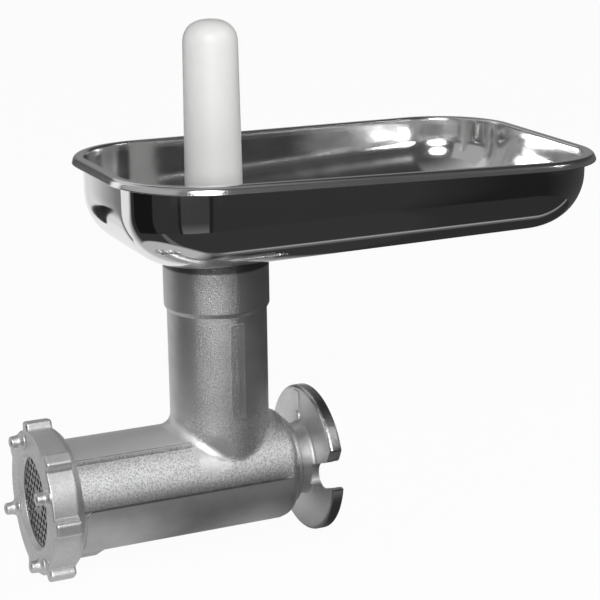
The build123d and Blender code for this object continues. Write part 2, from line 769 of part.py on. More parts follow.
def pusher():
    top = SPOUT_TOP_Z + PUSHER_STOP_T
    stop = turned_z(
        [
            (0, SPOUT_TOP_Z),
            (PUSHER_STOP_R, SPOUT_TOP_Z, 0.6),
            (PUSHER_STOP_R, top, 1.5),
            (HANDLE_LOW_R - 0.2, top, 3.0),
            (HANDLE_LOW_R - 0.2, top + 6.0),
            (0, top + 6.0),
        ]
    )
    solid = pusher_form(0, PUSHER_LOW_Z) + stop
    return solid - pusher_form(PUSHER_WALL, PUSHER_LOW_Z - 1)


def pusher_plug():
    """Shallow cup pressed into the pusher's open foot."""
    plug_r = PUSHER_BODY_R - PUSHER_WALL
    cup = upright(plug_r, PUSHER_LOW_Z + 0.5, PUSHER_LOW_Z + 7)
    return cup - upright(plug_r - PUSHER_WALL, PUSHER_LOW_Z + 3.5, PUSHER_LOW_Z + 8)


save(pusher(), "pusher", WHITE)
save(pusher_plug(), "pusher_plug", WHITE)
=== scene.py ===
import json
from math import atan2, cos, hypot, pi, radians, sin, tan

import bmesh
import bpy
from mathutils import Matrix, Vector, noise


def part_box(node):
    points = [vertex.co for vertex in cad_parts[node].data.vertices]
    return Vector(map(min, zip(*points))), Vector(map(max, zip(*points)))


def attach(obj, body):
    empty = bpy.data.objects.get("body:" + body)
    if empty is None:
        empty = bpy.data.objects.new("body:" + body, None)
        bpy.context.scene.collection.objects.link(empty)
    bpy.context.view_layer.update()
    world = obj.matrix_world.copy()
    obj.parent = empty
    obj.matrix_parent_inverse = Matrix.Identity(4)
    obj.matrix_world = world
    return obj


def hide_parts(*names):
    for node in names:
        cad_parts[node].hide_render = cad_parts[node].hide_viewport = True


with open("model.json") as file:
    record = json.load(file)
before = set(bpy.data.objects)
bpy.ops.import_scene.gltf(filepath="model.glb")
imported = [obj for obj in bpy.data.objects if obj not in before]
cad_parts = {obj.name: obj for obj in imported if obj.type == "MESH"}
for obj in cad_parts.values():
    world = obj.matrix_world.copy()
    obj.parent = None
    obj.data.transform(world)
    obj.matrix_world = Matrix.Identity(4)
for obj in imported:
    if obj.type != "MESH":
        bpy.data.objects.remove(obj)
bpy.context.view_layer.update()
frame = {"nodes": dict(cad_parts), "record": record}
record = frame["record"]
nodes = frame["nodes"]

# Lengths are in metres where nothing else is said. Names with _MM, the zones of the casting, and the
# sizes of the tray, pusher and threads are in millimetres of the CAD frame.
MM = 0.001
X_AXIS, Y_AXIS, Z_AXIS = (1, 0, 0), (0, 1, 0), (0, 0, 1)

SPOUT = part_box("tray_spout")
NECK_X = (SPOUT[0].x + SPOUT[1].x) / 2
SPOUT_R = (SPOUT[1].x - SPOUT[0].x) / 2
TRAY_TOP_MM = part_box("tray")[1].z / MM
NECK_TOP_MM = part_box("feed_neck")[1].z / MM
# The ring nut's lowest lug all but touches the floor.
FLOOR_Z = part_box("ring_nut")[0].z - 0.001


# ---- camera ----------------------------------------------------------------------
CAMERA_AT = (-0.5232, -1.1201, 0.4470)
# In radians: from +Y towards +X, downwards, and about the line of sight.
CAMERA_HEADING = 0.4307
CAMERA_PITCH = 0.2598
CAMERA_ROLL = -0.0131
LENS_MM = 106.5
SENSOR_MM = 36


def make_camera():
    """Camera fitted to the photo's view."""
    ahead = cos(CAMERA_PITCH)
    forward = Vector((sin(CAMERA_HEADING) * ahead, cos(CAMERA_HEADING) * ahead, -sin(CAMERA_PITCH)))
    level = Vector((cos(CAMERA_HEADING), -sin(CAMERA_HEADING), 0))
    upward = level.cross(forward)
    right = cos(CAMERA_ROLL) * level + sin(CAMERA_ROLL) * upward
    up = -sin(CAMERA_ROLL) * level + cos(CAMERA_ROLL) * upward
    data = bpy.data.cameras.new("camera")
    data.sensor_width = SENSOR_MM
    data.lens = LENS_MM
    camera = bpy.data.objects.new("camera", data)
    bpy.context.scene.collection.objects.link(camera)
    turn = Matrix((right, up, -forward)).transposed().to_4x4()
    camera.matrix_world = Matrix.Translation(CAMERA_AT) @ turn
    bpy.context.scene.camera = camera


# ---- node trees ------------------------------------------------------------------
def neutral(level):
    """A grey as a colour."""
    return (level, level, level)


class Tree:
    """Short hand for building a node tree. A source is a socket, a number or a colour."""

    def __init__(self, tree):
        self.tree = tree

    def add(self, kind, **settings):
        node = self.tree.nodes.new(kind)
        for key, value in settings.items():
            setattr(node, key, value)
        return node

    def feed(self, source, socket):
        if isinstance(source, (int, float)):
            socket.default_value = source
        elif isinstance(source, tuple):
            socket.default_value = (*source, 1.0)
        else:
            self.tree.links.new(source, socket)

    def math(self, operation, *sources):
        node = self.add("ShaderNodeMath", operation=operation)
        for socket, source in zip(node.inputs, sources):
            self.feed(source, socket)
        return node.outputs[0]

    def chain(self, operation, sources):
        """One operation over any number of sources."""
        result = sources[0]
        for source in sources[1:]:
            result = self.math(operation, result, source)
        return result


class Nodes(Tree):
    """Material of a surface of the object, round its Principled shader."""

    def __init__(self, name, metallic=0.0):
        self.material = bpy.data.materials.new(name)
        self.material.use_nodes = True
        super().__init__(self.material.node_tree)
        self.shader = self.tree.nodes["Principled BSDF"]
        self.shader.inputs["Metallic"].default_value = metallic
        self.place = self.add("ShaderNodeTexCoord").outputs["Object"]

    def colour(self, source):
        self.feed(source, self.shader.inputs["Base Color"])

    def roughness(self, source):
        self.feed(source, self.shader.inputs["Roughness"])

    def bump(self, height, depth_mm):
        node = self.add("ShaderNodeBump")
        node.inputs["Strength"].default_value = 1.0
        node.inputs["Distance"].default_value = depth_mm * MM
        self.feed(height, node.inputs["Height"])
        self.feed(node.outputs["Normal"], self.shader.inputs["Normal"])

    def axes(self):
        """Place in the CAD frame, in millimetres, as three sockets."""
        scaled = self.add("ShaderNodeVectorMath", operation="SCALE")
        self.feed(self.place, scaled.inputs[0])
        scaled.inputs["Scale"].default_value = 1 / MM
        split = self.add("ShaderNodeSeparateXYZ")
        self.feed(scaled.outputs["Vector"], split.inputs[0])
        return split.outputs[0], split.outputs[1], split.outputs[2]

    def noise(self, per_mm, detail=3.0, roughness=0.5, stretch=None):
        """Fractal noise with that many features per millimetre."""
        source = self.place
        if stretch:
            mapping = self.add("ShaderNodeMapping")
            mapping.inputs["Scale"].default_value = stretch
            self.feed(source, mapping.inputs["Vector"])
            source = mapping.outputs["Vector"]
        node = self.add("ShaderNodeTexNoise")
        node.inputs["Scale"].default_value = per_mm / MM
        node.inputs["Detail"].default_value = detail
        node.inputs["Roughness"].default_value = roughness
        self.feed(source, node.inputs["Vector"])
        return node.outputs["Fac"]

    def cells(self, per_mm):
        """Distance to the nearest of scattered points, that many per millimetre."""
        node = self.add("ShaderNodeTexVoronoi")
        node.inputs["Scale"].default_value = per_mm / MM
        self.feed(self.place, node.inputs["Vector"])
        return node.outputs["Distance"]

    def ramp(self, source, *stops):
        """Colour ramp between two (position, grey or colour) stops."""
        node = self.add("ShaderNodeValToRGB")
        for element, (position, colour) in zip(node.color_ramp.elements, stops):
            element.position = position
            element.color = (*(colour if isinstance(colour, tuple) else neutral(colour)), 1.0)
        self.feed(source, node.inputs["Fac"])
        return node.outputs["Color"]

    def mix(self, factor, first, second):
        """Mix of two colours."""
        node = self.add("ShaderNodeMix", data_type="RGBA")
        # The colours of this node are its sockets 6 and 7, and its output 2.
        for index, source in ((0, factor), (6, first), (7, second)):
            self.feed(source, node.inputs[index])
        return node.outputs[2]

    def rises(self, source, low, high):
        """0 below low, 1 above high; the other way round where low is the higher one."""
        node = self.add("ShaderNodeMapRange", interpolation_type="SMOOTHSTEP")
        self.feed(source, node.inputs["Value"])
        node.inputs["From Min"].default_value = low
        node.inputs["From Max"].default_value = high
        return node.outputs[0]

    def all_of(self, *shares):
        """Product of some shares."""
        return self.chain("MULTIPLY", shares)

    def rest(self, share):
        return self.math("SUBTRACT", 1.0, share)

    def adds(self, base, weight, source):
        """base + weight * source"""
        return self.math("MULTIPLY_ADD", source, weight, base)


# ---- zones of the casting --------------------------------------------------------
BARREL_TOP_Z = 41.0
# The lower half of the barrel is smooth and stands proud, up to a ledge at this height.
LEDGE_Z = 1.6
LEDGE_SHADE_TOP_Z = 13.0
LEDGE_REAR_X = -36.0
# Two thin strips run along the barrel, at an angle each side of its top, and end at the neck.
STRIP_ANGLE = radians(36.6)
STRIP_HALF = 1.3
STRIP_END_X = -104.0
# The neck is smooth above the barrel, but for the sand between its mould faces.
NECK_LOW_Z = (48.0, 62.0)
NECK_SAND_X = (-101.0, -71.0)
FLANGE_FRONT_X = -26.0
FLANGE_EDGE_R = 51.6
# The hollow in front of the neck's foot, which is smooth and takes a painted highlight, and how far from it
# the painted brightness ends and is full, in metres.
FOOT = (-0.090, -0.031, 0.025)
FOOT_REACH = (0.0165, 0.007)
# How far the painted shadow of the tray reaches down from the neck's top.
MOUTH_BAND = 9.5


def top_share(n):
    """1 between the two strips, and on all that stands over them."""
    x, y, z = n.axes()
    # Above a strip |y| is less than z times the tangent of its angle.
    over_strip = n.math("MULTIPLY_ADD", z, tan(STRIP_ANGLE), n.math("MULTIPLY", n.math("ABSOLUTE", y), -1.0))
    return n.all_of(n.rises(over_strip, -0.8, 0.8), n.rises(x, STRIP_END_X + 3, STRIP_END_X - 3))


def painted_light_top(n):
    """1 on the smooth top of the barrel, which is painted lighter: painted light."""
    return n.all_of(top_share(n), n.rises(n.axes()[2], BARREL_TOP_Z + 7, BARREL_TOP_Z))


def sandy_share(n):
    """1 where the mould was sandy, 0 on the smooth lower half and the smooth top of the barrel."""
    x, _, z = n.axes()
    barrel = n.all_of(n.rises(z, LEDGE_Z - 0.4, LEDGE_Z + 0.8), n.rest(top_share(n)))
    low, high = NECK_SAND_X
    between_faces = n.all_of(n.rises(x, low - 3, low + 3), n.rises(x, high + 3, high - 3))
    smooth_neck = n.all_of(n.rises(z, *NECK_LOW_Z), n.rest(between_faces))
    # The flange is nearly smooth.
    flange = n.all_of(n.rises(x, FLANGE_FRONT_X, FLANGE_FRONT_X + 4), 0.7)
    return n.all_of(barrel, n.rest(n.math("MAXIMUM", smooth_neck, flange)))


def ledge_shade(n):
    """1 just over the ledge of the lower half, where less light reaches."""
    x, _, z = n.axes()
    over = n.all_of(n.rises(z, LEDGE_SHADE_TOP_Z, LEDGE_Z), n.rises(z, LEDGE_Z - 1.0, LEDGE_Z - 0.2))
    return n.all_of(over, n.rises(x, LEDGE_REAR_X + 2, LEDGE_REAR_X - 8))


def crease_shade_share(n):
    """Painted shade in the creases: along both sides of the strips and, fainter, under the ledge."""
    x, y, z = n.axes()
    across = n.math("ABSOLUTE", y)
    # Distance from the strip's middle line, square to its radius.
    aside = n.math(
        "SUBTRACT", n.math("MULTIPLY", across, cos(STRIP_ANGLE)), n.math("MULTIPLY", z, sin(STRIP_ANGLE))
    )
    off = n.math("ABSOLUTE", n.math("SUBTRACT", n.math("ABSOLUTE", aside), STRIP_HALF + 0.5))
    beside = n.all_of(
        n.rises(off, 0.7, 0.25), n.rises(x, STRIP_END_X + 2, STRIP_END_X - 2), n.rises(z, 20.0, 24.0)
    )
    gap = n.math("ABSOLUTE", n.math("SUBTRACT", z, LEDGE_Z + 0.5))
    under = n.all_of(
        n.rises(gap, 0.85, 0.5), n.rises(x, LEDGE_REAR_X, LEDGE_REAR_X - 2), n.rises(across, 36.0, 38.0), 0.5
    )
    # Noise breaks the painted shade up into patches.
    patchy = n.rises(n.noise(0.12, detail=4), 0.30, 0.52)
    return n.all_of(n.math("MAXIMUM", beside, under), n.adds(0.25, 0.40, patchy))


def painted_highlight_share(n):
    """1 in the hollow between the barrel and the neck's front, which is smooth and painted bright as a
    painted highlight.
    """
    reach = n.add("ShaderNodeVectorMath", operation="DISTANCE")
    n.feed(n.place, reach.inputs[0])
    reach.inputs[1].default_value = FOOT
    return n.rises(reach.outputs["Value"], *FOOT_REACH)


def shaded_flange_edge(n):
    """1 on the turned edge of the flange, which is smoother and painted darker: painted shade."""
    x, y, z = n.axes()
    radius = n.math("SQRT", n.math("MULTIPLY_ADD", y, y, n.math("MULTIPLY", z, z)))
    return n.all_of(
        n.rises(radius, FLANGE_EDGE_R, FLANGE_EDGE_R + 0.6), n.rises(x, FLANGE_FRONT_X - 1, FLANGE_FRONT_X)
    )


def mouth_shade(n):
    """1 round the collar's mouth, which takes a painted shadow of the tray over it."""
    height = NECK_TOP_MM - MOUTH_BAND
    return n.rises(n.axes()[2], height - 1.0, height + 1.0)


# ---- materials -------------------------------------------------------------------
TURNED_ROUGHNESS = 0.20
# A face of the tray that looks towards this point over it is on its inside.
ABOVE_TRAY = (0.02, 0.0, 0.40)
# How far the brushed rim reaches down from the tray's top.
RIM_BAND = 6.5
RIM_ROUGHNESS = 0.18


def cast_metal(name, grey=0.80, zoned=True, sand_mm=0.17, smooth_mm=0.05, sparkle=0.9, satin=0.48):
    """Tinned casting: satin skin, sandy facets that sparkle, faint staining.

    sparkle is the number of facets per millimetre, and satin the skin's roughness. A zoned casting has its
    sand where the barrel, neck and flange have it, and painted shade, shadow and light in its creases,
    hollows and edges and on its top.
    """
    n = Nodes(name, metallic=1.0)
    # foot marks the hollow at the neck's foot: smooth, no sand, and a painted highlight.
    foot = painted_highlight_share(n) if zoned else 0.0
    share = n.all_of(sandy_share(n), n.rest(foot)) if zoned else n.rises(n.noise(0.02), 0.2, 0.9)
    body = n.ramp(n.noise(0.05, detail=5), (0.3, grey * 0.86), (0.7, grey))
    mottle = n.noise(sparkle * 0.85, detail=4, roughness=0.75)
    fleck = n.all_of(share, n.rises(mottle, 0.57, 0.40))
    # The sand is painted lighter, in part its own tone and in part a painted highlight along the barrel; up
    # the neck less so.
    lightened_sand = n.all_of(share, n.adds(1.0, -0.75, n.rises(n.axes()[2], 44.0, 58.0)))
    dull = n.mix(0.14, body, neutral(0.1))
    colour = n.mix(lightened_sand, dull, n.mix(0.6, body, (0.98, 0.98, 0.97)))
    colour = n.mix(fleck, colour, n.mix(0.38, body, neutral(0.22)))
    rough = n.adds(n.adds(satin, -0.10, share), 0.14, fleck)
    if zoned:
        edge = shaded_flange_edge(n)
        # Each zone, how much of its own grey it takes, and that grey.
        for zone, most, level in (
            (ledge_shade(n), 0.6, 0.2),
            # Painted highlight in the hollow at the neck's foot.
            (foot, 1.0, 0.95),
            # Painted shade on the flange's turned edge.
            (edge, 1.0, 0.62),
            # Painted light on the smooth top of the barrel.
            (painted_light_top(n), 0.8, 0.95),
            # Painted shadow of the tray on the collar's mouth.
            (mouth_shade(n), 0.85, 0.10),
            # Painted shade in the creases beside the strips and under the ledge.
            (crease_shade_share(n), 1.0, 0.10),
        ):
            colour = n.mix(n.all_of(zone, most), colour, neutral(level))
        rough = n.adds(rough, -0.12, foot)
        rough = n.adds(rough, n.math("SUBTRACT", TURNED_ROUGHNESS, rough), edge)
    n.colour(colour)
    n.roughness(rough)
    sand = n.math("ADD", n.noise(sparkle * 1.3, detail=3, roughness=0.6), n.cells(sparkle))
    depth = n.adds(smooth_mm, sand_mm - smooth_mm, share)
    n.bump(n.math("MULTIPLY", n.adds(sand, 2.0, mottle), depth), 1.0)
    return n.material


def polished_metal(name, grey=0.86, roughness=0.05):
    """Pressed stainless: a hazy mirror, softer inside the tray, brushed on the rolled rim."""
    n = Nodes(name, metallic=1.0)
    haze = n.noise(0.05, detail=5, roughness=0.6)
    n.colour(n.ramp(haze, (0.3, grey * 0.97), (0.7, grey)))
    shine = n.ramp(haze, (0.35, roughness * 0.7), (0.75, roughness * 1.6))
    inwards = n.add("ShaderNodeVectorMath", operation="SUBTRACT")
    n.feed(n.place, inwards.inputs[0])
    inwards.inputs[1].default_value = ABOVE_TRAY
    facing = n.add("ShaderNodeVectorMath", operation="DOT_PRODUCT")
    n.feed(inwards.outputs[0], facing.inputs[0])
    n.feed(n.add("ShaderNodeTexCoord").outputs["Normal"], facing.inputs[1])
    inside = n.rises(facing.outputs["Value"], 0.001, -0.001)
    walls = n.adds(shine, 0.08, inside)
    rim_low = TRAY_TOP_MM - RIM_BAND
    rim = n.rises(n.axes()[2], rim_low, rim_low + 1.0)
    n.roughness(n.mix(rim, walls, neutral(RIM_ROUGHNESS)))
    n.bump(n.noise(0.02, detail=2), 0.05)
    return n.material


# Its grey is lower than bare steel's: in part dark steel, in part painted shade for the plate under the
# ring's lip.
def ground_steel(name, grey=0.42):
    """Steel with the fine lines of the grinding wheel."""
    n = Nodes(name, metallic=1.0)
    lines = n.noise(1.2, detail=2, stretch=(1.0, 1.0, 9.0))
    n.colour(n.ramp(lines, (0.3, grey * 0.85), (0.7, grey * 1.1)))
    n.roughness(n.ramp(lines, (0.3, 0.22), (0.7, 0.36)))
    n.bump(lines, 0.02)
    return n.material


def bronze(name):
    n = Nodes(name, metallic=1.0)
    tone = n.noise(0.2, detail=4)
    n.colour(n.ramp(tone, (0.3, (0.42, 0.26, 0.10)), (0.7, (0.58, 0.38, 0.17))))
    n.roughness(n.ramp(tone, (0.3, 0.3), (0.7, 0.42)))
    n.bump(n.noise(1.5, detail=2), 0.02)
    return n.material


def rubber(name):
    n = Nodes(name)
    tone = n.noise(0.6, detail=4)
    n.colour(n.ramp(tone, (0.3, 0.012), (0.7, 0.03)))
    n.roughness(n.ramp(tone, (0.3, 0.6), (0.7, 0.75)))
    n.bump(n.noise(2.0, detail=2), 0.03)
    return n.material


def white_plastic(name):
    """Off-white moulding, slightly glossy, with faint marks from washing and handling."""
    n = Nodes(name)
    n.colour(n.ramp(n.noise(0.03, detail=4), (0.3, (0.73, 0.73, 0.72)), (0.7, (0.77, 0.77, 0.76))))
    n.roughness(n.ramp(n.noise(0.02, detail=3), (0.35, 0.34), (0.7, 0.40)))
    n.bump(n.noise(0.01, detail=2), 0.05)
    return n.material


MATERIALS = {
    "tinned_casting": cast_metal("tinned_casting"),
    # The ring nut's casting is lighter grey than the housing's, in part painted light.
    "ring_casting": cast_metal(
        "ring_casting", 0.95, zoned=False, sand_mm=0.06, smooth_mm=0.03, sparkle=0.6, satin=0.50
    ),
    "worm_casting": cast_metal("worm_casting", 0.70, zoned=False, sand_mm=0.10),
    "ground_steel": ground_steel("ground_steel"),
    "bronze": bronze("bronze"),
    "polished_stainless": polished_metal("polished_stainless"),
    "white_plastic": white_plastic("white_plastic"),
    "black_rubber": rubber("black_rubber"),
}

for subpart in record["subparts"]:
    slots = nodes[subpart["node"]].data.materials
    slots.clear()
    slots.append(MATERIALS[subpart["material_slot"]])


# ---- mesh work -------------------------------------------------------------------
def skin(name, rows, closed_rows=True, closed_rings=True):
    """Quad mesh through rings of points, each ring and the set of rings open or closed."""
    mesh = bmesh.new()
    grid = [[mesh.verts.new(point) for point in row] for row in rows]
    count = len(grid[0])
    last_row = len(grid) if closed_rows else len(grid) - 1
    last_point = count if closed_rings else count - 1
    for i in range(last_row):
        upper, lower = grid[i], grid[(i + 1) % len(grid)]
        for j in range(last_point):
            k = (j + 1) % count
            mesh.faces.new((upper[j], upper[k], lower[k], lower[j]))
    bmesh.ops.remove_doubles(mesh, verts=mesh.verts, dist=1e-7)
    bmesh.ops.recalc_face_normals(mesh, faces=mesh.faces)
    for face in mesh.faces:
        face.smooth = True
    data = bpy.data.meshes.new(name)
    mesh.to_mesh(data)
    mesh.free()
    piece = bpy.data.objects.new(name, data)
    bpy.context.scene.collection.objects.link(piece)
    return piece


def place(piece, slot, body, node=None):
    """Dresses a piece and fixes it to its body, in place of a CAD node if one is named."""
    piece.data.materials.append(MATERIALS[slot])
    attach(piece, body)
    if node:
        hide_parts(node)


def corner_at(outline, index):
    """A corner of a closed outline: its place, unit vectors to both neighbours, half the angle inside."""
    count = len(outline)
    here = Vector(outline[index % count][:2])
    back = (Vector(outline[(index - 1) % count][:2]) - here).normalized()
    onward = (Vector(outline[(index + 1) % count][:2]) - here).normalized()
    return here, back, onward, back.angle(onward) / 2


# ---- tray ------------------------------------------------------------------------
# Plan corners about the neck's axis with the radius of each.
TRAY_CORNERS = [(-87.0, -90.0, 70.0), (250.0, -137.5, 57.0), (263.0, 97.0, 61.0), (-85.0, 104.0, 62.0)]
CORNER_STEPS = 44
SIDE_STEP = 4
# Height of the floor's underside at the neck's axis, and its slope.
FLOOR_AT_NECK = 166.3
FLOOR_RISE = 0.046
FLOOR_STEPS = 14
SHEET_T = 1.0
# The large fillet between the floor and the wall.
BLEND_R = 38.0
BLEND_STEPS = 16
WALL_STEPS = 5
# The rim: how far under the top it starts, its bends and the straight runs between them, and the
# angles by which its top falls outwards and its skirt leans.
RIM_WIDTH = 7.8
RIM_START = 3.6
RIM_INNER_ROUND = 1.4
RIM_FALL = 8.0
RIM_RUN = 2.5
RIM_OUTER_ROUND = 3.2
RIM_LEAN = 8.0
RIM_SKIRT = 1.9
RIM_CURL_ROUND = 0.5
RIM_CURL_TURN = 50
BEND_STEP = 12
# Unevenness of the sheet: its depth and lengths, how far under the top it ends, and over what height it
# fades.
WAVE_DEPTH = 0.10
WAVE_LENGTHS = (55, 55, 42)
WAVE_END = 6
WAVE_FADE = 12
# Any seed but 0, which stands for the clock: without one the wave would change from run to run.
WAVE_SEED = 1


def tray_plan():
    """Points of the plan's outer edge with their outward normals, all round."""
    points = []
    for index, (_, _, radius) in enumerate(TRAY_CORNERS):
        here, back, onward, half = corner_at(TRAY_CORNERS, index)
        centre = here + (back + onward).normalized() * (radius / sin(half))
        first = Vector((back.y, -back.x))
        if first.dot(centre - here) > 0:
            first = -first
        for step in range(CORNER_STEPS + 1):
            turn = (pi - 2 * half) * step / CORNER_STEPS
            normal = Vector((
                first.x * cos(turn) - first.y * sin(turn),
                first.x * sin(turn) + first.y * cos(turn),
            ))
            points.append((centre + normal * radius, normal))
        # The straight side up to the next corner.
        start, normal = points[-1]
        corner, _, _, next_half = corner_at(TRAY_CORNERS, index + 1)
        next_radius = TRAY_CORNERS[(index + 1) % len(TRAY_CORNERS)][2]
        end = corner - onward * (next_radius / tan(next_half))
        pieces = max(2, int((end - start).length / SIDE_STEP))
        for step in range(1, pieces):
            points.append((start.lerp(end, step / pieces), normal))
    return points


def floor_height(x):
    """Underside of the tray's floor at a distance from the neck's axis."""
    return FLOOR_AT_NECK + FLOOR_RISE * x


def bend(path, radius, turn):
    """Carries a path on round an arc that turns outwards, over an angle in degrees."""
    (a0, b0), (a1, b1) = path[-2:]
    heading = atan2(b1 - b0, a0 - a1)
    steps = max(3, int(turn / BEND_STEP))
    for step in range(1, steps + 1):
        now = heading - radians(turn) * step / steps
        reach = radius * radians(turn) / steps
        middle = now + radians(turn) / steps / 2
        last = path[-1]
        path.append((last[0] - reach * cos(middle), last[1] + reach * sin(middle)))


def run_on(path, length):
    """Carries a path straight on."""
    (a0, b0), (a1, b1) = path[-2:]
    share = length / hypot(a1 - a0, b1 - b0)
    path.append((a1 + (a1 - a0) * share, b1 + (b1 - b0) * share))


def rim_profile():
    """Middle of the rim's sheet as (inset, height over the top), from the wall outwards."""
    wall = RIM_WIDTH + SHEET_T / 2
    path = [(wall, -RIM_START), (wall, -SHEET_T / 2 - RIM_INNER_ROUND)]
    bend(path, RIM_INNER_ROUND, 90 + RIM_FALL)
    run_on(path, RIM_RUN)
    bend(path, RIM_OUTER_ROUND, 90 - RIM_FALL - RIM_LEAN)
    run_on(path, RIM_SKIRT)
    bend(path, RIM_CURL_ROUND, RIM_CURL_TURN)
    return path


def offset_path(path, distance):
    """The path moved to its left by a distance."""
    moved = []
    for index, (a, b) in enumerate(path):
        before = path[max(index - 1, 0)]
        after = path[min(index + 1, len(path) - 1)]
        da, db = after[0] - before[0], after[1] - before[1]
        length = hypot(da, db)
        moved.append((a - db / length * distance, b + da / length * distance))
    return moved


def tray_skin(plan, sign):
    """Rings of one skin from the spout hole to the rim's edge; sign +1 is the inside, -1 the outside."""
    lift = SHEET_T / 2 * (1 + sign)
    ball = BLEND_R - lift
    down = Vector((FLOOR_RISE, 0, -1)).normalized()
    centres = []
    for p, n in plan:
        c = p - n * (RIM_WIDTH + BLEND_R)
        centres.append(Vector((c.x, c.y, floor_height(c.x) - BLEND_R / down.z)))
    foot = [c + down * ball for c in centres]
    hole = []
    for f in foot:
        angle = atan2(f.y, f.x)
        x, y = SPOUT_R / MM * cos(angle), SPOUT_R / MM * sin(angle)
        hole.append(Vector((x, y, floor_height(x) + lift)))
    rows = []
    for step in range(FLOOR_STEPS):
        rows.append([h.lerp(f, step / FLOOR_STEPS) for h, f in zip(hole, foot)])
    for step in range(BLEND_STEPS + 1):
        share = step / BLEND_STEPS
        rows.append([c + down.slerp(Vector((n.x, n.y, 0)), share) * ball for c, (_, n) in zip(centres, plan)])
    top = TRAY_TOP_MM - RIM_START
    blend_end = rows[-1]
    for step in range(1, WALL_STEPS):
        share = step / WALL_STEPS
        rows.append([Vector((q.x, q.y, q.z + (top - q.z) * share)) for q in blend_end])
    for inset, rise in offset_path(rim_profile(), -SHEET_T / 2 * sign):
        rows.append([Vector((p.x - n.x * inset, p.y - n.y * inset, TRAY_TOP_MM + rise)) for p, n in plan])
    return rows


def wave_sheet(point):
    """Slight unevenness of pressed sheet, nil at the rim."""
    fade = min(1.0, max(0.0, (TRAY_TOP_MM - WAVE_END - point.z) / WAVE_FADE))
    shift = noise.noise_vector(Vector([along / length for along, length in zip(point, WAVE_LENGTHS)]))
    return point + shift * (WAVE_DEPTH * fade)


def make_tray():
    """Pressed pan: both skins of one sheet, joined at the spout hole and at the rim's edge."""
    noise.seed_set(WAVE_SEED)
    plan = tray_plan()
    origin = Vector((NECK_X, 0, 0))
    rows = tray_skin(plan, 1) + tray_skin(plan, -1)[::-1]
    waved = [[wave_sheet(point) * MM + origin for point in row] for row in rows]
    place(skin("tray_sheet", waved), "polished_stainless", "tray", "tray")


# ---- pusher ----------------------------------------------------------------------
PUSHER_BODY_R = 28.4
HANDLE_LOW_R = 20.5
HANDLE_TOP_R = 18.9
WALL = 3.0
DOME_HEIGHT = 16.5
DOME_STEPS = 16
# Powers of the dome's outline across and up: over 2 makes it fuller than a half ellipse.
DOME_POWERS = (2.5, 2.3)
STOP_R = 33.5
STOP_T = 4.0
STOP_LOW_ROUND = 0.6
STOP_TOP_ROUND = 1.5
STOP_FILLET = 3.0
# How far over the stop the handle's straight part starts, and the rings along it.
HANDLE_START = 9
HANDLE_STEPS = 11
AROUND = 192
PER_CORNER = 5


def lathe(name, profile, axis_x):
    """Body turned about an upright axis from (radius, height)."""
    rows = []
    for step in range(AROUND):
        turn = 2 * pi * step / AROUND
        rows.append([Vector((axis_x + r * cos(turn) * MM, r * sin(turn) * MM, z * MM)) for r, z in profile])
    return skin(name, rows)


def rounded(corners):
    """Closed profile from (a, b) or (a, b, corner radius) corners."""
    points = []
    for index, corner in enumerate(corners):
        here, back, onward, half = corner_at(corners, index)
        if len(corner) == 2:
            points.append(tuple(here))
            continue
        start = here + back * (corner[2] / tan(half))
        end = here + onward * (corner[2] / tan(half))
        centre = here + (back + onward).normalized() * (corner[2] / sin(half))
        for step in range(PER_CORNER + 1):
            points.append(tuple(centre + (start - centre).slerp(end - centre, step / PER_CORNER)))
    return points


def dome(radius, height):
    """Crown from its edge up to the middle."""
    across, up = DOME_POWERS
    rows = []
    for step in range(DOME_STEPS + 1):
        angle = pi / 2 * step / DOME_STEPS
        rows.append((radius * cos(angle) ** (2 / across), height * sin(angle) ** (2 / up)))
    return rows


def make_pusher():
    """Domed handle, stop flange and hollow body, turned in one piece."""
    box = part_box("pusher")
    low, top = box[0].z / MM, box[1].z / MM
    stop_z = SPOUT[1].z / MM
    stop_top = stop_z + STOP_T
    start = stop_top + HANDLE_START
    shoulder = top - DOME_HEIGHT

    def handle_r(z):
        share = (z - stop_z) / (shoulder - stop_z)
        return HANDLE_LOW_R + (HANDLE_TOP_R - HANDLE_LOW_R) * share

    stop = rounded([
        (0, stop_z),
        (STOP_R, stop_z, STOP_LOW_ROUND),
        (STOP_R, stop_top, STOP_TOP_ROUND),
        (handle_r(stop_top), stop_top, STOP_FILLET),
        (handle_r(start), start),
    ])
    # Two more rings along the straight body keep the shading of its ends to the ends.
    profile = [(PUSHER_BODY_R, low), (PUSHER_BODY_R, low + 20), (PUSHER_BODY_R, stop_z - 1)]
    profile += [(PUSHER_BODY_R, stop_z)] + stop[1:]
    for step in range(1, HANDLE_STEPS + 1):
        z = start + (shoulder - start) * step / HANDLE_STEPS
        profile.append((handle_r(z), z))
    profile += [(r, shoulder + rise) for r, rise in dome(HANDLE_TOP_R, DOME_HEIGHT)[1:]]
    inner = [(r, shoulder + rise) for r, rise in dome(HANDLE_TOP_R - WALL, DOME_HEIGHT - WALL)]
    profile += inner[::-1]
    profile += [(handle_r(stop_z) - WALL, stop_z - WALL), (PUSHER_BODY_R - WALL, stop_z - WALL)]
    profile += [(PUSHER_BODY_R - WALL, low)]
    place(lathe("pusher_moulding", profile, NECK_X), "white_plastic", "pusher", "pusher")


# ---- threads ---------------------------------------------------------------------
THREAD_PITCH = 3.0
# Sections of a ridge per turn, and half its widths.
THREAD_STEPS = 96
THREAD_HALF_FOOT = 1.15
THREAD_HALF_CREST = 0.42
# Share of the ridge's height by which its foot is sunk, and how fast its ends run out, per turn.
THREAD_SUNK = 0.15
THREAD_RUNOUT = 2.2
# Radii of each root and crest, and how far the ridge starts before the ring nut's rear and ends behind
# the plate's front.
BARREL_THREAD = (38.0, 38.85, 3.5, 4.2)
RING_THREAD = (39.1, 38.25, 2.0, 8.6)
RING_REAR_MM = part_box("ring_nut")[1].x / MM
PLATE_FRONT_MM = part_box("hole_plate")[0].x / MM


